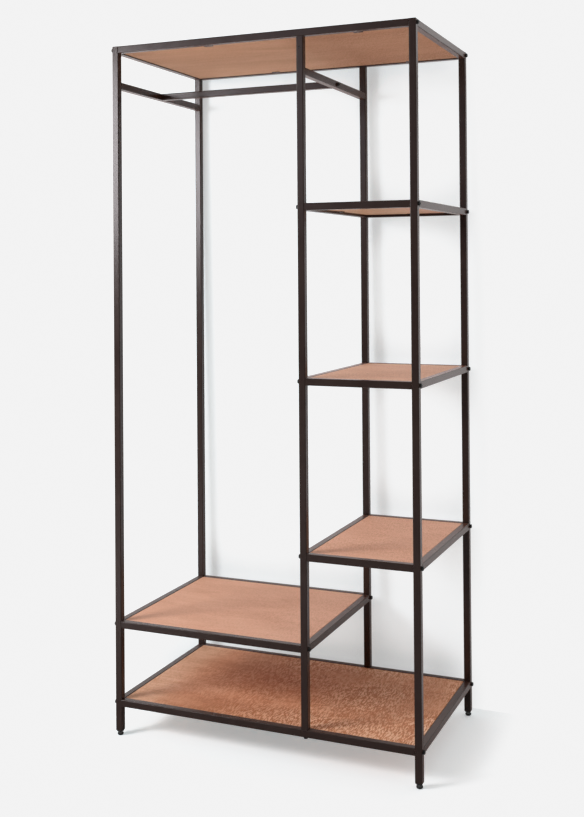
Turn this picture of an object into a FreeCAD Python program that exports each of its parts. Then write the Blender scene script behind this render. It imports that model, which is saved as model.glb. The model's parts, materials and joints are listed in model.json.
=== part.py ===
import FreeCAD, Part
import math
import os

from FreeCAD import Vector

# Open frame wardrobe: three welded ladders of square tube, bolted together by front and rear rails.
# Millimetres. +X is to the right, +Y to the back, +Z up. The origin is on the floor, under the centre.

# Frame
frame_width = 827.0            # across the outer faces of the left and right posts
frame_depth = 482.0            # across the outer faces of the front and rear posts
frame_height = 1800.0          # floor to the top of the frame
tube_side = 18.0
tube_wall = 1.2
tube_corner = 2.0              # outside corner radius of the tube
bottom_level = 94.0            # floor to the top of the bottom rails
right_bay_width = 268.0        # clear width between the middle and right posts
right_bay_count = 4            # equal bays, one above the other, on the right
shoe_shelf_rise = 203.0        # top of the shoe shelf above the top of the bottom rails
hanger_drop = 93.0             # top of the hanger bar below the top of the frame

# Boards
top_board_thickness = 14.0
top_board_recess = 1.5         # top of the board below the tops of its rails
shelf_thickness = 10.0         # of all the boards below the top one
shelf_recess = 0.7
board_gap = 0.8                # between the edge of a board and its rails
board_ease = 0.8               # rounding of the upper and lower edges
board_corner = 3.0             # rounding of the four corners, seen from above

# Support tabs and their wood screws
tab_width = 24.0
tab_reach = 14.0               # how far a tab stands out from its rail
tab_thickness = 1.5
tab_corner = 4.0
screw_diameter = 3.5
screw_head_diameter = 7.0
screw_head_height = 1.0
screw_bite = 5.0               # depth in the board
screw_slot_width = 1.0
screw_slot_depth = 0.5

# Frame bolts and the nuts in the tube ends
bolt_diameter = 6.0
bolt_bite = 14.0               # length inside the end nut
bolt_head_diameter = 10.5
bolt_head_height = 5.0
bolt_head_ease = 1.0           # rounding of the outer edge of the head
bolt_socket_flats = 5.0
bolt_socket_depth = 2.6
nut_length = 18.0
nut_clearance = 0.1            # between an end nut, cap or plug and the inside of the tube

# Spigots that locate the middle posts under the top rails, and their set screws
spigot_length = 45.0
spigot_clearance = 0.15
set_screw_diameter = 4.0
set_screw_length = 6.0
set_screw_drop = 27.0          # below the underside of the top rail
set_screw_recess = 0.4         # below the face of the post
set_screw_flats = 2.0
set_screw_socket_depth = 2.0

# Caps in the tops of the outer posts
cap_head = 2.0
cap_ease = 0.6

# Feet
pad_diameter = 16.0
pad_height = 6.0
pad_base_diameter = 12.0       # flat face on the floor
pad_taper_height = 2.2
pad_ease = 0.8
pad_floor = 2.0                # under the end of the stud
neck_diameter = 6.0            # lower end of the stud, which turns in the pad
hex_flats = 9.0
hex_height = 1.6
stud_diameter = 8.0
stud_length = 28.0             # threaded length above the hexagon
foot_gap = 1.4                 # thread that shows between the hexagon and the collar
collar_height = 4.5
collar_base_side = 13.0
collar_corner_share = 0.3      # of the collar's side, at its base
foot_plug_length = 22.0        # inside the post

# Fits
hole_clearance = 0.3           # radial, bolts and screws in plain holes
thread_clearance = 0.05        # radial, screws in their threads and studs in their bores
neck_end_clearance = 0.2       # under the end of the stud's neck
overrun = 1.0                  # cuts run past the faces by this much

# Places that follow from the sizes above
bore_side = tube_side - 2 * tube_wall
bore_corner = tube_corner * bore_side / tube_side
column_x = (frame_width - tube_side) / 2
row_y = (frame_depth - tube_side) / 2
middle_x = column_x - tube_side - right_bay_width
columns = {"left": -column_x, "middle": middle_x, "right": column_x}
rows = {"front": -row_y, "rear": row_y}
shelf_pitch = (frame_height - bottom_level) / right_bay_count
levels = {
    "bottom": bottom_level,
    "shoe_shelf": bottom_level + shoe_shelf_rise,
    "lower_shelf": bottom_level + shelf_pitch,
    "centre_shelf": bottom_level + 2 * shelf_pitch,
    "upper_shelf": bottom_level + 3 * shelf_pitch,
    "hanger": frame_height - hanger_drop,
    "top": frame_height,
}
right_shelves = ("upper_shelf", "centre_shelf", "lower_shelf")
rungs = {
    "left": ("top", "hanger", "shoe_shelf", "bottom"),
    "middle": ("hanger",) + right_shelves + ("shoe_shelf",),
    "right": ("top",) + right_shelves + ("bottom",),
}
rail_ends = {
    "top": ("left", "right"),
    "bottom": ("left", "right"),
    "shoe_shelf": ("left", "middle"),
    "upper_shelf": ("middle", "right"),
    "centre_shelf": ("middle", "right"),
    "lower_shelf": ("middle", "right"),
}
bolt_hole = bolt_diameter + 2 * hole_clearance
cap_plug_length = tube_side / 2 - cap_head - bolt_hole / 2     # stops above the uppermost bolts
neck_base = pad_floor + neck_end_clearance
hex_top = pad_height + hex_height
collar_base = hex_top + foot_gap
post_base = collar_base + collar_height
up = Vector(0, 0, 1)
to_right = Vector(1, 0, 0)
to_back = Vector(0, 1, 0)


def placed(shape, place, axis):
    """A shape built upwards from the origin, moved to a place and turned to run along an axis."""
    moved = shape.copy()
    moved.Placement = FreeCAD.Placement(place, FreeCAD.Rotation(up, axis))
    return moved


def upright_edges(shape):
    return [edge for edge in shape.Edges if edge.BoundBox.ZLength > edge.Length / 2]


def square_bar(side, corner, length):
    bar = Part.makeBox(side, side, length, Vector(-side / 2, -side / 2, 0))
    return bar.makeFillet(corner, upright_edges(bar))


def square_tube(length):
    bore = square_bar(bore_side, bore_corner, length + 2 * overrun)
    bore.translate(Vector(0, 0, -overrun))
    return square_bar(tube_side, tube_corner, length).cut(bore)


def fitted_bar(clearance, length):
    """A square bar that slides into the tube."""
    return square_bar(bore_side - 2 * clearance, bore_corner, length)


def rod(diameter, length):
    return Part.makeCylinder(diameter / 2, length)


def hexagon(flats, length):
    corner_radius = flats / 2 / math.cos(math.pi / 6)
    angles = [corner * math.pi / 3 for corner in range(7)]
    points = [Vector(math.cos(angle), math.sin(angle), 0) * corner_radius for angle in angles]
    return Part.Face(Part.makePolygon(points)).extrude(up * length)


def turned(points):
    """A solid turned about the Z axis from an outline in the XZ plane that starts and ends on that axis."""
    outline = Part.makePolygon([Vector(radius, 0, height) for radius, height in points + points[:1]])
    return Part.Face(outline).revolve(Vector(), up, 360)


def drill(shape, place, axis, diameter, length):
    """Drill a plain hole that starts at a place and runs along an axis."""
    start = place - axis * overrun
    return shape.cut(placed(rod(diameter, length + 2 * overrun), start, axis))


def rail_centre(level):
    return levels[level] - tube_side / 2


def bolt():
    """A socket-head bolt, shank upwards, with the underside of its head at the origin."""
    head = placed(rod(bolt_head_diameter, bolt_head_height), Vector(), -up)
    head = head.makeFillet(bolt_head_ease, [edge for edge in head.Edges if edge.BoundBox.ZMax < 0])
    socket = hexagon(bolt_socket_flats, bolt_socket_depth + overrun)
    socket.translate(Vector(0, 0, -bolt_head_height - overrun))
    return head.cut(socket).fuse(rod(bolt_diameter, tube_side + bolt_bite)).removeSplitter()


def end_nut():
    """A square nut that fills the end of a tube, with its face at the origin."""
    blank = fitted_bar(nut_clearance, nut_length)
    return drill(blank, Vector(), up, bolt_diameter + 2 * thread_clearance, nut_length)


def wood_screw():
    """A pan-head screw, point upwards, with the underside of its head at the origin."""
    head = placed(rod(screw_head_diameter, screw_head_height), Vector(), -up)
    head = head.makeChamfer(screw_slot_depth / 2, [edge for edge in head.Edges if edge.BoundBox.ZMax < 0])
    slot = Part.makeBox(screw_head_diameter, screw_slot_width, screw_slot_depth + overrun)
    slot.translate(Vector(-screw_head_diameter / 2, -screw_slot_width / 2, -screw_head_height - overrun))
    return head.cut(slot).fuse(rod(screw_diameter, tab_thickness + screw_bite)).removeSplitter()


def tab():
    """A support tab, root at the origin, that reaches along +X with its top face at the origin's height."""
    plate = Part.makeBox(tab_reach, tab_width, tab_thickness, Vector(0, -tab_width / 2, -tab_thickness))
    outer_edges = [edge for edge in upright_edges(plate) if edge.BoundBox.XMin > tab_reach / 2]
    plate = plate.makeFillet(tab_corner, outer_edges)
    hole_diameter = screw_diameter + 2 * hole_clearance
    return drill(plate, Vector(tab_reach / 2, 0, 0), -up, hole_diameter, tab_thickness)


def foot_plug():
    """A square plug in the end of a post, with a tapered collar below and a threaded bore right through."""
    top_wire = collar_outline(tube_side, tube_corner, post_base)
    base_wire = collar_outline(collar_base_side, collar_base_side * collar_corner_share, collar_base)
    collar = Part.makeLoft([base_wire, top_wire], True, True)
    insert = fitted_bar(nut_clearance, foot_plug_length)
    insert.translate(up * post_base)
    bore_diameter = stud_diameter + 2 * thread_clearance
    return drill(collar.fuse(insert), up * collar_base, up, bore_diameter, collar_height + foot_plug_length)


def collar_outline(side, corner, height):
    bar = square_bar(side, corner, side)
    base = [face for face in bar.Faces if face.BoundBox.ZMax < side / 2][0]
    wire = base.OuterWire
    wire.translate(up * height)
    return wire


def foot_stud():
    """The stud of a foot: a neck that turns in the pad, a hexagon for the spanner and the thread."""
    neck = rod(neck_diameter, pad_height - neck_base)
    neck.translate(up * neck_base)
    nut = hexagon(hex_flats, hex_height)
    nut.translate(up * pad_height)
    thread = rod(stud_diameter, stud_length)
    thread.translate(up * hex_top)
    return neck.fuse([nut, thread]).removeSplitter()


def foot_pad():
    """A round pad with a tapered lower edge and a blind hole for the neck of the stud."""
    body = turned([
        (0, 0),
        (pad_base_diameter / 2, 0),
        (pad_diameter / 2, pad_taper_height),
        (pad_diameter / 2, pad_height - pad_ease),
        (pad_diameter / 2 - pad_ease, pad_height),
        (0, pad_height),
    ])
    hole = rod(neck_diameter + 2 * thread_clearance, pad_height - pad_floor + overrun)
    hole.translate(up * pad_floor)
    return body.cut(hole)


def post_cap():
    """A cap, head at the origin, whose plug goes down into the post."""
    head = square_bar(tube_side, tube_corner, cap_head)
    upper_edges = [edge for edge in head.Edges if edge.BoundBox.ZMin > cap_head / 2]
    head = head.makeFillet(cap_ease, upper_edges)
    return head.fuse(placed(fitted_bar(nut_clearance, cap_plug_length), Vector(), -up))


def set_screw():
    """A set screw, point upwards, with its socket end at the origin."""
    socket = hexagon(set_screw_flats, set_screw_socket_depth + overrun)
    socket.translate(Vector(0, 0, -overrun))
    return rod(set_screw_diameter, set_screw_length).cut(socket)


nodes = {}
bolts = {column: [] for column in columns}
end_nuts = []

# Posts. The outer ones reach from the foot plugs to their caps, the middle ones stand between the rails.
for row, y in rows.items():
    for column, x in columns.items():
        outer = column != "middle"
        base = post_base if outer else levels["bottom"]
        head = frame_height - (cap_head if outer else tube_side)
        nodes[f"{row}_{column}_post"] = placed(square_tube(head - base), Vector(x, y, base), up)

# Side rails, welded between the front and rear posts of each ladder.
side_length = frame_depth - 2 * tube_side
for column, names in rungs.items():
    for level in names:
        name = f"{column}_hanger_rung" if level == "hanger" else f"{column}_{level}_side_rail"
        start = Vector(columns[column], -side_length / 2, rail_centre(level))
        nodes[name] = placed(square_tube(side_length), start, to_back)


def join(post, column, place, axis):
    """Bolt a tube end to a post. The bolt crosses the post at a place, along an axis, into an end nut."""
    nodes[post] = drill(nodes[post], place - axis * (tube_side / 2), axis, bolt_hole, tube_side)
    bolts[column].append(placed(bolt(), place - axis * (tube_side / 2), axis))
    end_nuts.append(placed(end_nut(), place + axis * (tube_side / 2), axis))


# Front and rear rails, each bolted at both ends.
for level, (first, last) in rail_ends.items():
    start_x = columns[first] + tube_side / 2
    length = columns[last] - columns[first] - tube_side
    for row, y in rows.items():
        start = Vector(start_x, y, rail_centre(level))
        nodes[f"{row}_{level}_rail"] = placed(square_tube(length), start, to_right)
        for column, axis in ((first, to_right), (last, -to_right)):
            join(f"{row}_{column}_post", column, Vector(columns[column], y, rail_centre(level)), axis)

# Hanger bar, bolted between the rungs at half depth.
bar_length = columns["middle"] - columns["left"] - tube_side
bar_start = Vector(columns["left"] + tube_side / 2, 0, rail_centre("hanger"))
nodes["hanger_bar"] = placed(square_tube(bar_length), bar_start, to_right)
for column, axis in (("left", to_right), ("middle", -to_right)):
    join(f"{column}_hanger_rung", column, Vector(columns[column], 0, rail_centre("hanger")), axis)

# Middle posts: a bolt up through the bottom rail below, a spigot with a set screw under the top rail above.
spigots = []
set_screws = []
for row, y in rows.items():
    join(f"{row}_bottom_rail", "middle", Vector(middle_x, y, rail_centre("bottom")), up)
    rail_underside = frame_height - tube_side
    outward = to_back if y > 0 else -to_back
    screw_height = rail_underside - set_screw_drop
    face = Vector(middle_x, y, screw_height) + outward * (tube_side / 2)
    spigot = placed(fitted_bar(spigot_clearance, spigot_length), Vector(middle_x, y, rail_underside), -up)
    thread = set_screw_diameter + 2 * thread_clearance
    spigots.append(drill(spigot, face, -outward, thread, set_screw_recess + set_screw_length))
    post = f"{row}_middle_post"
    nodes[post] = drill(nodes[post], face, -outward, set_screw_diameter + 2 * hole_clearance, tube_wall)
    set_screws.append(placed(set_screw(), face - outward * set_screw_recess, -outward))

# Boards, their support tabs at the middle of each bay and side, and the screws up through the tabs.
# The top board has no tabs at its sides.
tabs = {"top_board_tabs": [], "bottom_board_tabs": [], "shelf_tabs": []}
screws = []
pilot = screw_diameter + 2 * thread_clearance
for level, (first, last) in rail_ends.items():
    left = columns[first] + tube_side / 2
    right = columns[last] - tube_side / 2
    depth = side_length / 2
    thickness, recess = (top_board_thickness, top_board_recess) if level == "top" else (shelf_thickness, shelf_recess)
    top = levels[level] - recess
    underside = top - thickness
    corner = Vector(left + board_gap, board_gap - depth, underside)
    board_length = right - left - 2 * board_gap
    board = Part.makeBox(board_length, 2 * (depth - board_gap), thickness, corner)
    board = board.makeFillet(board_corner, upright_edges(board))
    rim_edges = [edge for edge in board.Edges if edge.BoundBox.ZLength < thickness / 2]
    board = board.makeFillet(board_ease, rim_edges)
    spans = [(left, right)]
    if (first, last) == ("left", "right"):
        spans = [(left, middle_x - tube_side / 2), (middle_x + tube_side / 2, right)]
    seats = []
    if level != "top":
        seats = [(Vector(left, 0, underside), to_right), (Vector(right, 0, underside), -to_right)]
    for start, end in spans:
        seats.append((Vector((start + end) / 2, -depth, underside), to_back))
        seats.append((Vector((start + end) / 2, depth, underside), -to_back))
    group = f"{level}_board_tabs" if level in ("top", "bottom") else "shelf_tabs"
    for root, inward in seats:
        piece = tab()
        piece.Placement = FreeCAD.Placement(root, FreeCAD.Rotation(to_right, inward))
        tabs[group].append(piece)
        hole = root + inward * (tab_reach / 2)
        screws.append(placed(wood_screw(), hole - up * tab_thickness, up))
        board = board.cut(placed(rod(pilot, screw_bite + overrun), hole - up * (overrun / 2), up))
    nodes[f"{level}_board"] = board

# Caps and feet of the outer posts.
caps = []
plugs = []
for row, y in rows.items():
    for column in ("left", "right"):
        corner = Vector(columns[column], y, 0)
        caps.append(placed(post_cap(), corner + up * (frame_height - cap_head), up))
        plugs.append(placed(foot_plug(), corner, up))
        nodes[f"{row}_{column}_foot_stud"] = placed(foot_stud(), corner, up)
        nodes[f"{row}_{column}_foot_pad"] = placed(foot_pad(), corner, up)

groups = {f"{column}_frame_bolts": bolts[column] for column in columns}
groups.update(tabs)
groups.update(rail_end_nuts=end_nuts, post_spigots=spigots, set_screws=set_screws)
groups.update(board_screws=screws, post_caps=caps, foot_plugs=plugs)
for name, pieces in groups.items():
    nodes[name] = Part.makeCompound(pieces)

os.makedirs("parts", exist_ok=True)
for name, shape in nodes.items():
    shape.exportStep(f"parts/{name}.step")
print(len(nodes), "nodes,", sum(len(shape.Solids) for shape in nodes.values()), "solids")
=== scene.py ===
import json
import math

import bmesh
import bpy
from mathutils import Matrix, Vector


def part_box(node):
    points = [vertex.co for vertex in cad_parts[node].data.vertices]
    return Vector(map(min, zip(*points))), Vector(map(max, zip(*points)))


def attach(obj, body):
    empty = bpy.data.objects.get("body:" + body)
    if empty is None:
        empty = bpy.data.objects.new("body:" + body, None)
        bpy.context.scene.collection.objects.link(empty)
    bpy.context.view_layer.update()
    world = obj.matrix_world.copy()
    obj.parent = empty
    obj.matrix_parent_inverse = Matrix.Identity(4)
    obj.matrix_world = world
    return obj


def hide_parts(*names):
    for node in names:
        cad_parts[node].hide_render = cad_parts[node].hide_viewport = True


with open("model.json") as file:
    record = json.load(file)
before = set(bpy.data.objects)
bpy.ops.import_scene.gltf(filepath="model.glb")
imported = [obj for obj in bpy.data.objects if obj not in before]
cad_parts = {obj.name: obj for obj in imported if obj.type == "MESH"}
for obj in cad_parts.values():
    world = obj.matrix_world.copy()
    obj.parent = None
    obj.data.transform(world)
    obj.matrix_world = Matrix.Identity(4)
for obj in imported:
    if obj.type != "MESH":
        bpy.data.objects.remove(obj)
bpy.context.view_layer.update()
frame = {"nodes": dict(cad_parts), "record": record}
nodes = frame["nodes"]
subparts = frame["record"]["subparts"]
scene = bpy.context.scene
print("frame loaded with", len(nodes), "nodes")


# small helpers for node trees

def addNode(tree, kind, settings=None, values=None):
    node = tree.nodes.new("ShaderNode" + kind)
    for name, value in (settings or {}).items():
        setattr(node, name, value)
    for name, value in (values or {}).items():
        node.inputs[name].default_value = value
    return node


def wire(tree, source, target):
    tree.links.new(source, target)


def addMath(tree, operation, first, second=None, clamp=False):
    node = addNode(tree, "Math", {"operation": operation, "use_clamp": clamp})
    for socket, value in zip(node.inputs, (first, second)):
        if isinstance(value, (int, float)):
            socket.default_value = value
        elif value is not None:
            wire(tree, value, socket)
    return node.outputs[0]


def times(tree, first, second, clamp=False):
    return addMath(tree, "MULTIPLY", first, second, clamp)


def weighted(tree, first, second, shares):
    return addMath(tree, "ADD", times(tree, first, shares[0]), times(tree, second, shares[1]))


def mapRange(tree, value, fromLow, fromHigh, toLow=0.0, toHigh=1.0, smooth=False):
    node = addNode(tree, "MapRange", {"interpolation_type": "SMOOTHSTEP" if smooth else "LINEAR"})
    wire(tree, value, node.inputs["Value"])
    limits = {"From Min": fromLow, "From Max": fromHigh, "To Min": toLow, "To Max": toHigh}
    for name, limit in limits.items():
        if isinstance(limit, (int, float)):
            node.inputs[name].default_value = limit
        else:
            wire(tree, limit, node.inputs[name])
    return node.outputs["Result"]


def mixColour(tree, factor, first, second, blend="MIX"):
    node = addNode(tree, "Mix", {"data_type": "RGBA", "blend_type": blend})
    wire(tree, factor, node.inputs["Factor"])
    for socket, colour in ((node.inputs[6], first), (node.inputs[7], second)):
        if isinstance(colour, tuple):
            socket.default_value = (*colour, 1.0)
        else:
            wire(tree, colour, socket)
    return node.outputs[2]


def mixShaders(tree, factor, first, second):
    mixed = addNode(tree, "MixShader")
    wire(tree, factor, mixed.inputs[0])
    wire(tree, first.outputs[0], mixed.inputs[1])
    wire(tree, second.outputs[0], mixed.inputs[2])
    return mixed


def splitVector(tree, vector):
    parts = addNode(tree, "SeparateXYZ")
    wire(tree, vector, parts.inputs[0])
    return parts.outputs


def joinVector(tree, x, y):
    joined = addNode(tree, "CombineXYZ")
    wire(tree, x, joined.inputs["X"])
    wire(tree, y, joined.inputs["Y"])
    return joined.outputs[0]


def vectorMath(tree, operation, first, second):
    node = addNode(tree, "VectorMath", {"operation": operation})
    wire(tree, first, node.inputs[0])
    if isinstance(second, tuple):
        node.inputs[1].default_value = second
    else:
        wire(tree, second, node.inputs[1])
    return node.outputs[0]


def noiseAt(tree, vector, values, scale=None):
    noise = addNode(tree, "TexNoise", None, values)
    wire(tree, vector, noise.inputs["Vector"])
    if scale is not None:
        wire(tree, scale, noise.inputs["Scale"])
    return noise.outputs


def stretchedNoise(tree, vector, stretch, detail=3.0, roughness=0.55, distortion=0.0):
    mapping = addNode(tree, "Mapping", {"vector_type": "POINT"}, {"Scale": stretch})
    wire(tree, vector, mapping.inputs["Vector"])
    values = {"Scale": 1.0, "Detail": detail, "Roughness": roughness, "Distortion": distortion}
    return noiseAt(tree, mapping.outputs["Vector"], values)["Fac"]


def newGroup(name, inputs, outputs):
    tree = bpy.data.node_groups.new(name, "ShaderNodeTree")
    for label, value in inputs.items():
        socket = tree.interface.new_socket(name=label, in_out="INPUT", socket_type="NodeSocketFloat")
        socket.default_value = value
    for label in outputs:
        tree.interface.new_socket(name=label, in_out="OUTPUT", socket_type="NodeSocketFloat")
    return tree, tree.nodes.new("NodeGroupInput"), tree.nodes.new("NodeGroupOutput")


def useGroup(tree, group, values):
    return addNode(tree, "Group", {"node_tree": group}, values).outputs


# effects that several finishes share

edgeRubShape = {
    "width": 0.12,                # how far round a corner it reaches: the middle of a corner is 0.29
    "flat": 0.01,                 # up to this a face counts as flat
    "patchScale": 40.0,
    "patchNoise": {"Detail": 4.0, "Roughness": 0.6},
    "patches": (0.35, 0.7),       # noise where a patch starts and is full
}


def buildEdgeRub(shape):
    inputs = {"Width": shape["width"], "Patch Scale": shape["patchScale"]}
    tree, given, result = newGroup("edgeRub", inputs, ["Mask"])
    place = addNode(tree, "TexCoord")
    across = [addMath(tree, "ABSOLUTE", part) for part in splitVector(tree, place.outputs["Normal"])]
    flat = addMath(tree, "MAXIMUM", across[0], addMath(tree, "MAXIMUM", across[1], across[2]))
    corner = addMath(tree, "SUBTRACT", 1.0, flat)
    noise = noiseAt(tree, place.outputs["Object"], shape["patchNoise"], given.outputs["Patch Scale"])
    patches = mapRange(tree, noise["Fac"], *shape["patches"])
    rubbed = mapRange(tree, corner, shape["flat"], given.outputs["Width"], smooth=True)
    wire(tree, times(tree, rubbed, patches, True), result.inputs["Mask"])
    return tree


settledDustShape = {
    "upward": (0.55, 0.98),       # tilt of a face where dust starts to lie and lies fully, level is 1
    "patchScale": 9.0,
    "patchNoise": {"Detail": 5.0, "Roughness": 0.6},
    "patches": (0.35, 0.75),
    "speckScale": (900, 900, 900),
    "specks": (0.45, 0.75),
    "shares": (0.7, 0.3),         # of patches and specks
}


def buildSettledDust(shape):
    tree, given, result = newGroup("settledDust", {"Patch Scale": shape["patchScale"]}, ["Mask"])
    place = addNode(tree, "TexCoord")
    tilt = splitVector(tree, place.outputs["Normal"])["Z"]
    upward = mapRange(tree, tilt, *shape["upward"], smooth=True)
    cloud = noiseAt(tree, place.outputs["Object"], shape["patchNoise"], given.outputs["Patch Scale"])
    specks = stretchedNoise(tree, place.outputs["Object"], shape["speckScale"], detail=1.0)
    soft = mapRange(tree, cloud["Fac"], *shape["patches"])
    fine = mapRange(tree, specks, *shape["specks"])
    cover = weighted(tree, soft, fine, shape["shares"])
    wire(tree, times(tree, upward, cover, True), result.inputs["Mask"])
    return tree


finePeelShape = {
    "scale": 900.0,
    "peelNoise": {"Detail": 2.0, "Roughness": 0.5},
    "cellScale": 0.6,             # beside the peel's own scale
    "cellSmoothness": 0.6,
    "cellShare": 0.5,
    "mottle": {"stretch": (14, 14, 14), "detail": 6.0, "roughness": 0.62},
    "mottleLimits": (0.3, 0.7),
}


def buildFinePeel(shape):
    tree, given, result = newGroup("finePeel", {"Scale": shape["scale"]}, ["Height", "Mottle"])
    place = addNode(tree, "TexCoord").outputs["Object"]
    peel = noiseAt(tree, place, shape["peelNoise"], given.outputs["Scale"])
    smoothness = {"Smoothness": shape["cellSmoothness"]}
    cells = addNode(tree, "TexVoronoi", {"feature": "SMOOTH_F1"}, smoothness)
    wire(tree, place, cells.inputs["Vector"])
    wire(tree, times(tree, given.outputs["Scale"], shape["cellScale"]), cells.inputs["Scale"])
    pits = times(tree, cells.outputs["Distance"], shape["cellShare"])
    wire(tree, addMath(tree, "ADD", peel["Fac"], pits), result.inputs["Height"])
    mottle = stretchedNoise(tree, place, **shape["mottle"])
    wire(tree, mapRange(tree, mottle, *shape["mottleLimits"]), result.inputs["Mottle"])
    return tree


toolLinesShape = {
    "scale": 1500.0,              # across the lines
    "alongScale": 120.0,
    "noise": {"Scale": 1.0, "Detail": 3.0},
    "limits": (0.3, 0.7),
}


def buildToolLines(shape):
    tree, given, result = newGroup("toolLines", {"Scale": shape["scale"]}, ["Lines"])
    parts = splitVector(tree, addNode(tree, "TexCoord").outputs["Object"])
    rise = times(tree, parts["Z"], given.outputs["Scale"])
    reach = times(tree, addMath(tree, "ADD", parts["X"], parts["Y"]), shape["alongScale"])
    noise = noiseAt(tree, joinVector(tree, rise, reach), shape["noise"])
    wire(tree, mapRange(tree, noise["Fac"], *shape["limits"]), result.inputs["Lines"])
    return tree


sawnGrainShape = {
    "boardSlip": (3.7, 2.3),      # each board is cut from another place in the log
    "swayNoise": {"Scale": 11.0, "Detail": 2.0},
    "swayReach": (0.007, 0.007, 0.0),
    "clouds": {"stretch": (3.0, 7.0, 3.0), "detail": 3.0, "roughness": 0.5, "distortion": 0.6},
    "wisps": {"stretch": (7.0, 32.0, 12.0), "detail": 4.0, "roughness": 0.6, "distortion": 0.9},
    "strokes": {"stretch": (470.0, 80.0, 60.0), "detail": 0.0},
    "ticks": {"stretch": (250.0, 60.0, 40.0), "detail": 2.0, "roughness": 0.6},
    "specks": {"stretch": (430.0, 220.0, 400.0), "detail": 3.0, "roughness": 0.65},
    "ducts": {"stretch": (60.0, 900.0, 700.0), "detail": 1.5, "roughness": 0.5},
    "patches": {"stretch": (4.0, 6.0, 4.0), "detail": 2.0},
    "middleTone": 0.5,
    "figureShares": (0.6, 0.4),                   # of clouds and wisps
    "figureRange": (0.32, 0.68, -0.5, 0.5),       # noise from and to, tone from and to
    "patchBite": (0.35, 0.62, 0.3, 1.0),          # noise from and to, share of the saw marks
    "sideBite": (-0.3, 0.25, 0.2, 1.0),           # X from and to, share of the saw marks
    "sawShares": (0.8, 0.2),                      # of strokes and ticks
    "marks": (0.51, 0.57),
    "troughs": (0.49, 0.42),
    "troughDepth": 0.7,
    "pores": (0.60, 0.72),
    "heights": {"specks": 0.5, "pores": 0.6, "marks": 0.8},
}


def buildSawnGrain(shape):
    inputs = {"Figure": 1.0, "Saw Marks": 1.0, "Speckle": 1.0}
    tree, given, result = newGroup("sawnGrain", inputs, ["Tone", "Pores", "Flecks", "Height"])
    place = addNode(tree, "TexCoord").outputs["Object"]
    parts = splitVector(tree, place)
    slip = joinVector(tree, *[times(tree, parts["Z"], slide) for slide in shape["boardSlip"]])
    log = vectorMath(tree, "ADD", place, slip)
    # the saw strokes sway a little from side to side
    drift = noiseAt(tree, log, shape["swayNoise"])
    sway = addNode(tree, "VectorMath", {"operation": "MULTIPLY_ADD"})
    wire(tree, drift["Color"], sway.inputs[0])
    sway.inputs[1].default_value = shape["swayReach"]
    wire(tree, log, sway.inputs[2])
    swayed = sway.outputs[0]
    clouds, specks, patches = [stretchedNoise(tree, log, **shape[name])
                               for name in ("clouds", "specks", "patches")]
    wisps, strokes, ticks, ducts = [stretchedNoise(tree, swayed, **shape[name])
                                    for name in ("wisps", "strokes", "ticks", "ducts")]
    figure = weighted(tree, clouds, wisps, shape["figureShares"])
    figure = mapRange(tree, figure, *shape["figureRange"])
    figure = times(tree, figure, given.outputs["Figure"])
    grit = addMath(tree, "SUBTRACT", specks, shape["middleTone"])
    grit = times(tree, grit, given.outputs["Speckle"])
    # the saw has bitten harder in some patches, most of all towards the right
    bite = times(tree, mapRange(tree, patches, *shape["patchBite"]),
                 mapRange(tree, parts["X"], *shape["sideBite"]))
    bite = times(tree, bite, given.outputs["Saw Marks"])
    sawn = weighted(tree, strokes, ticks, shape["sawShares"])
    marks = times(tree, mapRange(tree, sawn, *shape["marks"], smooth=True), bite, True)
    troughs = times(tree, mapRange(tree, sawn, *shape["troughs"], smooth=True), bite, True)
    tone = addMath(tree, "ADD", addMath(tree, "ADD", figure, grit), shape["middleTone"])
    tone = addMath(tree, "SUBTRACT", tone, times(tree, troughs, shape["troughDepth"]), True)
    pores = mapRange(tree, ducts, *shape["pores"], smooth=True)
    heights = shape["heights"]
    height = addMath(tree, "SUBTRACT", times(tree, specks, heights["specks"]),
                     times(tree, pores, heights["pores"]))
    height = addMath(tree, "ADD", height, times(tree, marks, heights["marks"]))
    wire(tree, tone, result.inputs["Tone"])
    wire(tree, pores, result.inputs["Pores"])
    wire(tree, marks, result.inputs["Flecks"])
    wire(tree, height, result.inputs["Height"])
    return tree


edgeRub = buildEdgeRub(edgeRubShape)
settledDust = buildSettledDust(settledDustShape)
finePeel = buildFinePeel(finePeelShape)
toolLines = buildToolLines(toolLinesShape)
sawnGrain = buildSawnGrain(sawnGrainShape)
print("shared effects built")


# finishes

def newFinish(name, values):
    material = bpy.data.materials.new(name)
    material.use_nodes = True
    tree = material.node_tree
    shader = tree.nodes["Principled BSDF"]
    for socket, value in values.items():
        shader.inputs[socket].default_value = value
    return material, tree, shader


def addBump(tree, shader, height, strength, distance):
    bump = addNode(tree, "Bump", None, {"Strength": strength, "Distance": distance})
    wire(tree, height, bump.inputs["Height"])
    wire(tree, bump.outputs["Normal"], shader.inputs["Normal"])


frameCoatLook = {
    "dark": (0.0220, 0.0115, 0.0088),
    "light": (0.0308, 0.0175, 0.0138),
    "peelScale": 1100.0,
    "rubbed": (0.060, 0.042, 0.034),
    "rub": {"Width": 0.26, "Patch Scale": 55.0},
    "rubShare": 0.55,
    "dust": (0.30, 0.26, 0.23),
    "dustPatches": 8.0,
    "dustShare": 0.05,
    "dustRoughness": 0.12,
    "satin": (0.235, 0.265),          # roughness, smooth to rough patches
    "bump": (0.06, 0.0004),           # strength, and depth in metres
    "shader": {
        "IOR": 1.35,
        "Specular Tint": (1.0, 0.95, 0.97, 1.0),
        "Sheen Weight": 0.2,
        "Sheen Roughness": 0.35,
        "Sheen Tint": (1.0, 0.38, 0.25, 1.0),
    },
}


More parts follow.
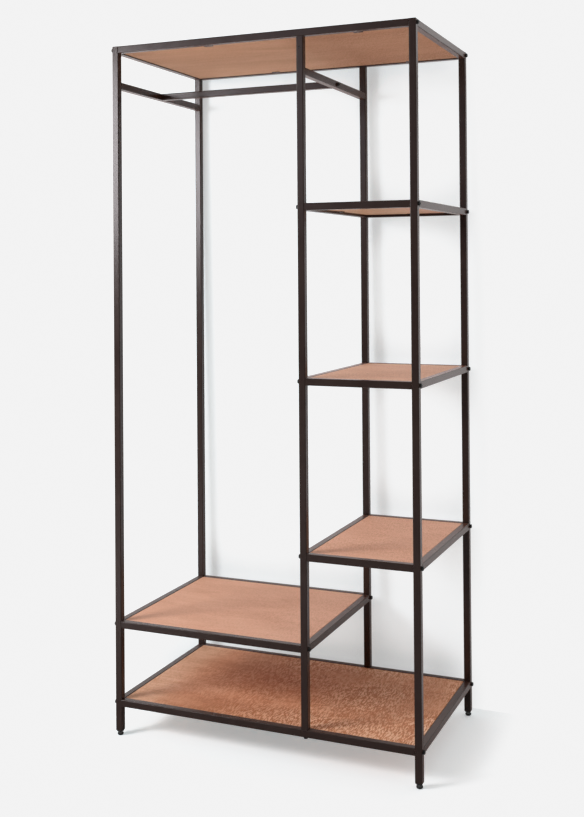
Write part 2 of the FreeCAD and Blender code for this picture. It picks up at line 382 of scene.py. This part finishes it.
def makeFrameCoat(look):
    material, tree, shader = newFinish("frameCoat", look["shader"])
    peel = useGroup(tree, finePeel, {"Scale": look["peelScale"]})
    rub = useGroup(tree, edgeRub, look["rub"])
    dust = useGroup(tree, settledDust, {"Patch Scale": look["dustPatches"]})
    colour = mixColour(tree, peel["Mottle"], look["dark"], look["light"])
    colour = mixColour(tree, times(tree, rub["Mask"], look["rubShare"]), colour, look["rubbed"])
    colour = mixColour(tree, times(tree, dust["Mask"], look["dustShare"]), colour, look["dust"])
    wire(tree, colour, shader.inputs["Base Color"])
    rough = mapRange(tree, peel["Mottle"], 0.0, 1.0, *look["satin"])
    rough = addMath(tree, "ADD", rough, times(tree, dust["Mask"], look["dustRoughness"]), True)
    wire(tree, rough, shader.inputs["Roughness"])
    addBump(tree, shader, peel["Height"], *look["bump"])
    return material


shelfLook = {
    "dark": (0.631, 0.310, 0.192),
    "middle": (0.745, 0.385, 0.250),
    "light": (0.828, 0.458, 0.307),
    "tones": (0.12, 0.5, 0.9),        # of the grain, where it is dark, middle and light
    "drift": (),                      # painted light and shade: tints where more or less light falls, X where one starts and is full, and its tint
    "pore": (0.460, 0.205, 0.125),
    "poreShare": 0.25,
    "fleck": (0.860, 0.510, 0.360),
    "fleckShare": 0.45,
    "edge": (0.76, 0.43, 0.29),
    "rub": {"Width": 0.26, "Patch Scale": 70.0},
    "rubShare": 0.5,
    "matt": (0.58, 0.72),             # roughness, light to dark grain
    "bump": (0.35, 0.0005),
    "grain": {"Figure": 0.55, "Saw Marks": 0.55, "Speckle": 1.2},
    "shader": {"IOR": 1.45},
}
# shoe shelf lighter towards the right: painted light; upper shelf darker at its right end: painted shade
shoeLook = dict(shelfLook, drift=((-0.06, 0.06, (1.06, 1.12, 1.16)),))
upperLook = dict(shelfLook, drift=((0.34, 0.26, (0.91, 0.95, 0.78)),))
# centre and lower shelves: the same wood grain in lighter colours, painted light and painted sheen
centrePaintedLightLook = dict(shelfLook, dark=(0.745, 0.392, 0.250), middle=(0.878, 0.486, 0.325),
                  light=(0.972, 0.578, 0.400), fleck=(0.985, 0.630, 0.460))
lowerPaintedLightLook = dict(shelfLook, dark=(0.700, 0.350, 0.219), middle=(0.826, 0.434, 0.284),
                 light=(0.918, 0.517, 0.349), fleck=(0.950, 0.575, 0.410))
# top board: its left half lighter, painted light from the key lamp on the front left
topLook = dict(shelfLook, matt=(0.72, 0.86), dark=(0.575, 0.262, 0.138), middle=(0.672, 0.324, 0.180),
               light=(0.752, 0.387, 0.225), drift=((0.09, 0.0, (1.14, 1.27, 1.37)),))
bottomLook = dict(
    shelfLook,
    dark=(0.458, 0.173, 0.075),
    middle=(0.577, 0.240, 0.115),
    light=(0.671, 0.308, 0.161),
    # painted light and shade: tints that lighten the far left, the left and the right of the board where
    # more light falls
    drift=((-0.26, -0.36, (1.21, 1.54, 1.84)), (-0.10, -0.22, (1.03, 1.13, 1.25)),
           (0.15, 0.30, (1.09, 1.07, 1.07))),
    pore=(0.330, 0.115, 0.052),
    poreShare=0.35,
    fleck=(0.920, 0.580, 0.380),
    fleckShare=0.95,
    edge=(0.63, 0.29, 0.155),
    matt=(0.68, 0.82),
    grain={"Figure": 1.0, "Saw Marks": 1.0, "Speckle": 1.2},
)


def makeBoardWood(name, look):
    material, tree, shader = newFinish(name, look["shader"])
    grain = useGroup(tree, sawnGrain, look["grain"])
    rub = useGroup(tree, edgeRub, look["rub"])
    ramp = addNode(tree, "ValToRGB")
    darkAt, middleAt, lightAt = look["tones"]
    darkStop, lightStop = ramp.color_ramp.elements
    darkStop.position = darkAt
    darkStop.color = (*look["dark"], 1.0)
    lightStop.position = lightAt
    lightStop.color = (*look["light"], 1.0)
    ramp.color_ramp.elements.new(middleAt).color = (*look["middle"], 1.0)
    wire(tree, grain["Tone"], ramp.inputs["Fac"])
    colour = ramp.outputs["Color"]
    along = splitVector(tree, addNode(tree, "TexCoord").outputs["Object"])["X"]
    # painted light and shade: each tint lightens or darkens the wood along X where more or less light falls
    for start, full, tint in look["drift"]:
        share = mapRange(tree, along, start, full, smooth=True)
        colour = mixColour(tree, share, colour, tint, "MULTIPLY")
    colour = mixColour(tree, times(tree, grain["Pores"], look["poreShare"]), colour, look["pore"])
    colour = mixColour(tree, times(tree, grain["Flecks"], look["fleckShare"]), colour, look["fleck"])
    colour = mixColour(tree, times(tree, rub["Mask"], look["rubShare"]), colour, look["edge"])
    wire(tree, colour, shader.inputs["Base Color"])
    rough = mapRange(tree, grain["Tone"], 0.0, 1.0, *reversed(look["matt"]))
    wire(tree, rough, shader.inputs["Roughness"])
    addBump(tree, shader, grain["Height"], *look["bump"])
    return material


roomDust = (0.30, 0.27, 0.25)

boltLook = {
    "oxide": (0.0045, 0.0042, 0.0042),
    "worn": (0.030, 0.027, 0.025),
    "wornShare": 0.35,
    "peelScale": 1800.0,
    "lineScale": 1800.0,
    "dustPatches": 60.0,
    "dustShare": 0.05,
    "satin": (0.30, 0.42),
    "bump": (0.08, 0.0003),
    "shader": {"IOR": 1.5, "Specular IOR Level": 0.3},
}


def makeBoltBlack(look):
    material, tree, shader = newFinish("boltBlack", look["shader"])
    peel = useGroup(tree, finePeel, {"Scale": look["peelScale"]})
    lines = useGroup(tree, toolLines, {"Scale": look["lineScale"]})
    dust = useGroup(tree, settledDust, {"Patch Scale": look["dustPatches"]})
    worn = times(tree, peel["Mottle"], lines["Lines"])
    colour = mixColour(tree, times(tree, worn, look["wornShare"]), look["oxide"], look["worn"])
    colour = mixColour(tree, times(tree, dust["Mask"], look["dustShare"]), colour, roomDust)
    wire(tree, colour, shader.inputs["Base Color"])
    wire(tree, mapRange(tree, lines["Lines"], 0.0, 1.0, *look["satin"]), shader.inputs["Roughness"])
    addBump(tree, shader, peel["Height"], *look["bump"])
    return material


zincLook = {
    "plate": (0.60, 0.60, 0.585),
    "dull": (0.42, 0.42, 0.41),
    "dullShare": 0.6,
    "peelScale": 2400.0,
    "lineScale": 3000.0,
    "bright": (0.22, 0.40),           # roughness
    "bump": (0.10, 0.0002),
    "shader": {"Metallic": 1.0},
}
screwLook = dict(zincLook, plate=(0.22, 0.19, 0.17), dull=(0.14, 0.12, 0.11))


def makeZincSteel(name, look):
    material, tree, shader = newFinish(name, look["shader"])
    peel = useGroup(tree, finePeel, {"Scale": look["peelScale"]})
    lines = useGroup(tree, toolLines, {"Scale": look["lineScale"]})
    clouded = times(tree, peel["Mottle"], look["dullShare"])
    wire(tree, mixColour(tree, clouded, look["plate"], look["dull"]), shader.inputs["Base Color"])
    wire(tree, mapRange(tree, lines["Lines"], 0.0, 1.0, *look["bright"]), shader.inputs["Roughness"])
    addBump(tree, shader, lines["Lines"], *look["bump"])
    return material


plasticLook = {
    "moulded": (0.0190, 0.0178, 0.0170),
    "scuffed": (0.050, 0.047, 0.045),
    "rub": {"Width": 0.28, "Patch Scale": 160.0},
    "rubShare": 0.4,
    "peelScale": 2000.0,
    "dustPatches": 80.0,
    "dustShare": 0.10,
    "matt": (0.46, 0.62),
    "bump": (0.25, 0.0003),
    "shader": {"IOR": 1.49},
}


def makeFootPlastic(look):
    material, tree, shader = newFinish("footPlastic", look["shader"])
    peel = useGroup(tree, finePeel, {"Scale": look["peelScale"]})
    rub = useGroup(tree, edgeRub, look["rub"])
    dust = useGroup(tree, settledDust, {"Patch Scale": look["dustPatches"]})
    rubbed = times(tree, rub["Mask"], look["rubShare"])
    colour = mixColour(tree, rubbed, look["moulded"], look["scuffed"])
    colour = mixColour(tree, times(tree, dust["Mask"], look["dustShare"]), colour, roomDust)
    wire(tree, colour, shader.inputs["Base Color"])
    wire(tree, mapRange(tree, peel["Mottle"], 0.0, 1.0, *look["matt"]), shader.inputs["Roughness"])
    addBump(tree, shader, peel["Height"], *look["bump"])
    return material


finishes = {
    "frame_coat": makeFrameCoat(frameCoatLook),
    "bolt_black": makeBoltBlack(boltLook),
    "zinc_steel": makeZincSteel("zincSteel", zincLook),
    "foot_plastic": makeFootPlastic(plasticLook),
}
ownFinishes = {                       # nodes that look unlike the rest of their slot
    "top_board": makeBoardWood("topBoardWood", topLook),
    "bottom_board": makeBoardWood("bottomBoardWood", bottomLook),
    "shoe_shelf_board": makeBoardWood("shoeShelfWood", shoeLook),
    "upper_shelf_board": makeBoardWood("upperShelfWood", upperLook),
    "centre_shelf_board": makeBoardWood("centreShelfWoodPaintedLight", centrePaintedLightLook),
    "lower_shelf_board": makeBoardWood("lowerShelfWoodPaintedLight", lowerPaintedLightLook),
    "board_screws": makeZincSteel("dullScrewSteel", screwLook),
}
for part in subparts:
    node = nodes[part["node"]]
    finish = ownFinishes.get(part["node"]) or finishes[part["material_slot"]]
    node.data.materials.clear()
    node.data.materials.append(finish)
print("finishes set on", len(subparts), "nodes")


# threaded studs of the feet, in place of the plain rods

studShape = {
    "threadDiameter": 0.0080,
    "threadDepth": 0.00065,
    "pitch": 0.00125,
    "ridge": ((0.0, False), (0.14, False), (0.45, True), (0.57, True), (0.88, False)),   # pitch share, crest
    "runOut": 0.7,                # turns over which the ridge starts and ends
    "spareTurns": 1.2,
    "rodShare": 0.98,             # of the thread's inner radius
    "rootShare": 0.97,
    "stepsPerTurn": 36,
    "neckDiameter": 0.0060,
    "hexFlats": 0.0090,
    "hexBase": 0.0060,            # top of the pad
    "hexHeight": 0.0016,
    "chamfer": 0.0004,
    "sharpAngle": 32,             # degrees
}


def addPoint(mesh, centre, radius, turn, height):
    return mesh.verts.new((centre.x + radius * math.cos(turn), centre.y + radius * math.sin(turn), height))


def ringOf(mesh, centre, radiusAt, height, count):
    turns = [2 * math.pi * step / count for step in range(count)]
    return [addPoint(mesh, centre, radiusAt(turn), turn, height) for turn in turns]


def bridge(mesh, lower, upper):
    count = len(lower)
    for step in range(count):
        after = (step + 1) % count
        mesh.faces.new((lower[step], lower[after], upper[after], upper[step]))


def addHexRod(mesh, centre, low, high, hexTop, inner):
    flats = studShape["hexFlats"] / 2
    corner = flats / math.cos(math.pi / 6)
    neck = studShape["neckDiameter"] / 2
    base, chamfer = studShape["hexBase"], studShape["chamfer"]
    rod = inner * studShape["rodShare"]

    def hexRadius(turn, limit):
        sector = (turn + math.pi / 6) % (math.pi / 3) - math.pi / 6
        return min(flats / math.cos(sector), limit)

    profile = [
        (low, lambda turn: neck),
        (base, lambda turn: neck),
        (base, lambda turn: hexRadius(turn, corner - chamfer)),
        (base + chamfer * 0.5, lambda turn: hexRadius(turn, corner)),
        (hexTop - chamfer * 0.5, lambda turn: hexRadius(turn, corner)),
        (hexTop, lambda turn: hexRadius(turn, corner - chamfer)),
        (hexTop, lambda turn: rod),
        (high, lambda turn: rod),
    ]
    count = studShape["stepsPerTurn"]
    rings = [ringOf(mesh, centre, radiusAt, height, count) for height, radiusAt in profile]
    for lower, upper in zip(rings, rings[1:]):
        bridge(mesh, lower, upper)
    mesh.faces.new(list(reversed(rings[0])))
    mesh.faces.new(rings[-1])


def addThread(mesh, centre, hexTop, high, inner, outer):
    count, pitch = studShape["stepsPerTurn"], studShape["pitch"]
    steps = int(((high - hexTop) / pitch - studShape["spareTurns"]) * count)
    runOut = count * studShape["runOut"]
    root = inner * studShape["rootShare"]
    before = None
    for step in range(steps + 1):
        turn = 2 * math.pi * step / count
        fade = min(1.0, step / runOut, (steps - step) / runOut)
        row = []
        for share, crest in studShape["ridge"]:
            away = root + ((outer if crest else inner) - root) * fade
            row.append(addPoint(mesh, centre, away, turn, hexTop + pitch * (step / count + share)))
        if before:
            for first in range(len(row) - 1):
                mesh.faces.new((before[first], row[first], row[first + 1], before[first + 1]))
        before = row


def buildStud(foot):
    low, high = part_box(foot + "_foot_stud")
    centre = (low + high) / 2
    outer = studShape["threadDiameter"] / 2
    inner = outer - studShape["threadDepth"]
    hexTop = studShape["hexBase"] + studShape["hexHeight"]
    mesh = bmesh.new()
    addHexRod(mesh, centre, low.z, high.z, hexTop, inner)
    addThread(mesh, centre, hexTop, high.z, inner, outer)
    bmesh.ops.recalc_face_normals(mesh, faces=mesh.faces)
    data = bpy.data.meshes.new(foot + "ThreadedStud")
    mesh.to_mesh(data)
    mesh.free()
    data.shade_smooth()
    data.set_sharp_from_angle(angle=math.radians(studShape["sharpAngle"]))
    data.materials.append(finishes["zinc_steel"])
    stud = bpy.data.objects.new(foot + "ThreadedStud", data)
    scene.collection.objects.link(stud)
    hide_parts(foot + "_foot_stud")
    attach(stud, foot + "_foot_stud")
    return stud


feet = [row + "_" + column for row in ("front", "rear") for column in ("left", "right")]
studs = [buildStud(foot) for foot in feet]
print("threaded studs:", len(studs))


# plain pale floor, and a pale backdrop close behind that lights nothing

floorLook = {
    "corners": ((-9, -9, 0), (9, -9, 0), (9, 9, 0), (-9, 9, 0)),
    "bounce": 0.80,               # how pale it is to the light that falls on it
    "mirrored": (1.2, 0.45),      # how pale the frame mirrors it in front, on the left and elsewhere
    "seen": (1.01, 1.01, 1.01),   # how pale it looks
    "fill": (0.33, 0.33),         # lifts its shadows, low down and higher up
    "fillTint": ((0.83, 1.0, 1.045), (0.925, 1.0, 1.02)),   # on the left and on the right
    "corner": 1.0,                # share of that fill where it is closely shaded
    "middle": (0.0, 0.0, 0.0),
    "reach": (0.65, 0.9, 1.0),    # this far from its middle it is one even tone
}
backdropLook = {
    "corners": ((-6, 0.195, 0), (6, 0.364, 0), (6, 0.283, 6), (-6, 0.114, 6)),
    "bounce": 0.80,
    "mirrored": (0.80, 0.80),
    "seen": (0.47, 0.51, 0.53),
    "fill": (0.61, 0.69),
    "fillTint": ((0.97, 1.0, 1.0), (0.985, 1.0, 1.0)),
    "corner": 0.60,
    "middle": (-0.08, 0.27, 0.9),
    "reach": (0.62, 1.0, 2.4),
}
evenTone = 1.1                    # brighter than the picture's white level
paleShape = {
    "shader": {"Roughness": 0.9, "Specular IOR Level": 0.1},
    "fade": (0.7, 1.0),           # share of the reach where the even tone starts and is full
    "shadeReach": 0.14,           # metres
    "shadeSamples": 12,
    "shade": (0.50, 0.85),        # openness of a corner that is closely shaded, and of an open place
    "fillRise": (0.15, 0.5),      # Z from low down to higher up
    "fillSides": (-0.1, 0.35),    # X from left to right
    "mirrorSides": (-1.2, -0.5),
    "behind": (-0.3, 0.25),       # Y from in front to behind
    "behindLevels": ((0.0, 0.3), (1.1, 1.0), (1.45, 0.8), (1.72, 0.1), (1.84, 1.0)),   # Z, share mirrored: painted shade in what the frame mirrors, darker low down and just under the top board
    "highestLevel": 2.0,
}


def levelRamp(tree, height, levels, highest):
    ramp = addNode(tree, "ValToRGB")
    stops = ramp.color_ramp.elements
    for number, (level, share) in enumerate(levels):
        stop = stops[number] if number < 2 else stops.new(level / highest)
        stop.position = level / highest
        stop.color = (share, share, share, 1.0)
    wire(tree, mapRange(tree, height, 0.0, highest), ramp.inputs["Fac"])
    return ramp.outputs["Color"]


def makePale(name, look, shape):
    material, tree, shader = newFinish(name, shape["shader"])
    shader.inputs["Base Color"].default_value = (look["bounce"], look["bounce"], look["bounce"], 1.0)
    place = addNode(tree, "TexCoord").outputs["Object"]
    spot = splitVector(tree, place)
    # what the camera sees: shaded near the middle, one even tone further out
    offset = vectorMath(tree, "SUBTRACT", place, look["middle"])
    away = addNode(tree, "VectorMath", {"operation": "LENGTH"})
    wire(tree, vectorMath(tree, "DIVIDE", offset, look["reach"]), away.inputs[0])
    far = mapRange(tree, away.outputs["Value"], *shape["fade"], smooth=True)
    seen = addNode(tree, "BsdfDiffuse", None, {"Color": (*look["seen"], 1.0)})
    reach = {"Distance": shape["shadeReach"]}
    shade = addNode(tree, "AmbientOcclusion", {"samples": shape["shadeSamples"]}, reach)
    corner = mapRange(tree, shade.outputs["AO"], *shape["shade"], look["corner"], 1.0, smooth=True)
    lift = mapRange(tree, spot["Z"], *shape["fillRise"], *look["fill"], smooth=True)
    rightward = mapRange(tree, spot["X"], *shape["fillSides"], smooth=True)
    fill = addNode(tree, "Emission")
    wire(tree, times(tree, lift, corner), fill.inputs["Strength"])
    wire(tree, mixColour(tree, rightward, *look["fillTint"]), fill.inputs["Color"])
    lifted = addNode(tree, "AddShader")
    wire(tree, seen.outputs[0], lifted.inputs[0])
    wire(tree, fill.outputs[0], lifted.inputs[1])
    even = addNode(tree, "Emission", None, {"Strength": evenTone})
    faded = mixShaders(tree, far, lifted, even)
    # what the frame mirrors: painted reflection tones, with painted shade low down and just under the top
    # board
    levels = levelRamp(tree, spot["Z"], shape["behindLevels"], shape["highestLevel"])
    behind = times(tree, mapRange(tree, spot["Y"], *shape["behind"], smooth=True), levels)
    dim = addNode(tree, "BsdfDiffuse")
    tone = mapRange(tree, spot["X"], *shape["mirrorSides"], *look["mirrored"], smooth=True)
    wire(tree, tone, dim.inputs["Color"])
    mirrored = mixShaders(tree, behind, dim, faded)
    ray = addNode(tree, "LightPath")
    picked = mixShaders(tree, ray.outputs["Is Glossy Ray"], shader, mirrored)
    picked = mixShaders(tree, ray.outputs["Is Camera Ray"], picked, faded)
    # from behind or below it isn't there
    side = addNode(tree, "NewGeometry")
    clear = addNode(tree, "BsdfTransparent")
    oneSided = mixShaders(tree, side.outputs["Backfacing"], picked, clear)
    wire(tree, oneSided.outputs[0], tree.nodes["Material Output"].inputs["Surface"])
    return material


def buildPale(name, look):
    data = bpy.data.meshes.new(name)
    data.from_pydata(look["corners"], [], [(0, 1, 2, 3)])
    data.materials.append(makePale(name, look, paleShape))
    plane = bpy.data.objects.new(name, data)
    scene.collection.objects.link(plane)
    return plane


buildPale("paleFloor", floorLook)
backdrop = buildPale("paleBackdrop", backdropLook)
backdrop.visible_diffuse = False
backdrop.visible_shadow = False
print("floor and backdrop set")


# soft studio light

studio = {
    "left": 0.11,                 # light from each side of the room
    "right": 0.46,
    "front": 0.1,
    "back": 0.86,
    "above": 0.56,
    "below": 0.5,
    "backWall": 0.55,             # a bright band low on the room's back wall
    "backWallSides": (0.2, 0.9),
    "backWallRise": (0.05, 0.45),
    "keyPlace": (-1.82, -1.92, 1.74),
    "keySize": (0.95, 0.8),
    "keyPower": 61.0,
    "keyTint": (0.98, 0.985, 1.0),
    "glowPlace": (-0.655, -1.9, 1.89),    # a dim sheet beside the key light
    "glowSize": (0.83, 0.78),
    "glowPower": 2.4,
    "glowTint": (0.94, 0.97, 1.10),
    "aim": (0.0, 0.0, 0.9),
}
whiteLevel = {
    "white": (1.02, 0.8963),      # a tone, and how it is shown: the brightest in the picture
    "shoulder": ((0.78, 0.78), (0.832, 0.823), (0.90, 0.863), (0.97, 0.888)),
    "brightest": 1.2,
}


def buildWorld(look):
    world = bpy.data.worlds.new("studioRoom")
    scene.world = world
    world.use_nodes = True
    tree = world.node_tree
    tree.nodes.clear()
    output = addNode(tree, "OutputWorld")
    parts = splitVector(tree, addNode(tree, "TexCoord").outputs["Generated"])
    low = addMath(tree, "ABSOLUTE", parts["Z"])
    low = mapRange(tree, low, *look["backWallRise"], 1.0, 0.0, smooth=True)
    band = times(tree, low, mapRange(tree, parts["Y"], *look["backWallSides"], smooth=True))
    strength = times(tree, band, look["backWall"])
    for axis, minus, plus in (("X", "left", "right"), ("Y", "front", "back"), ("Z", "below", "above")):
        share = times(tree, parts[axis], parts[axis])
        side = addMath(tree, "GREATER_THAN", parts[axis], 0.0)
        level = mapRange(tree, side, 0.0, 1.0, look[minus], look[plus])
        strength = addMath(tree, "ADD", strength, times(tree, share, level))
    white = (1.0, 1.0, 1.0, 1.0)
    light = addNode(tree, "Background", None, {"Color": white})
    wire(tree, strength, light.inputs["Strength"])
    plain = addNode(tree, "Background", None, {"Color": white, "Strength": evenTone})
    ray = addNode(tree, "LightPath")
    mix = mixShaders(tree, ray.outputs["Is Camera Ray"], light, plain)
    wire(tree, mix.outputs[0], output.inputs["Surface"])


def addSoftbox(name, place, size, power, tint, aim):
    data = bpy.data.lights.new(name, "AREA")
    data.shape = "RECTANGLE"
    data.size, data.size_y = size
    data.energy = power
    data.color = tint
    lamp = bpy.data.objects.new(name, data)
    scene.collection.objects.link(lamp)
    lamp.location = place
    lamp.rotation_euler = (Vector(aim) - Vector(place)).to_track_quat("-Z", "Y").to_euler()
    lamp.visible_camera = False


def setWhiteLevel(look):
    view = scene.view_settings
    view.view_transform = "Standard"
    view.use_curve_mapping = True
    curve = view.curve_mapping.curves[3]
    curve.points[1].location = look["white"]
    for tone, shown in look["shoulder"]:
        curve.points.new(tone, shown)
    for point in curve.points:
        point.handle_type = "VECTOR"
    view.curve_mapping.clip_max_x = look["brightest"]
    view.curve_mapping.extend = "HORIZONTAL"
    view.curve_mapping.update()


buildWorld(studio)
for lamp in ("key", "glow"):
    settings = [studio[lamp + part] for part in ("Place", "Size", "Power", "Tint")]
    addSoftbox(lamp + "Softbox", *settings, studio["aim"])
setWhiteLevel(whiteLevel)
print("studio light set")


# camera at the photograph's place

cameraView = {
    "eye": (1.1654, -2.7839, 1.2157),     # metres
    "turn": 23.082,                       # degrees to the left
    "tilt": 0.651,
    "roll": -0.420,
    "focalPixels": 1128.4,
    "middlePixel": (286.97, 255.04),      # where the lens points, in the photograph's frame
    "framePixels": (584, 817),
    "sensor": 36.0,                       # long side, mm
}


def addCamera(look):
    data = bpy.data.cameras.new("photoCamera")
    wide, high = look["framePixels"]
    longSide = max(wide, high)
    data.sensor_width = look["sensor"]
    data.lens = look["focalPixels"] * look["sensor"] / longSide
    data.shift_x = (wide / 2 - look["middlePixel"][0]) / longSide
    data.shift_y = (look["middlePixel"][1] - high / 2) / longSide
    camera = bpy.data.objects.new("photoCamera", data)
    scene.collection.objects.link(camera)
    turn = Matrix.Rotation(math.radians(look["turn"]), 4, "Z")
    tilt = Matrix.Rotation(math.radians(90 + look["tilt"]), 4, "X")
    roll = Matrix.Rotation(math.radians(look["roll"]), 4, "Z")
    camera.matrix_world = Matrix.Translation(look["eye"]) @ turn @ tilt @ roll
    bpy.context.scene.camera = camera


addCamera(cameraView)
print("camera set")
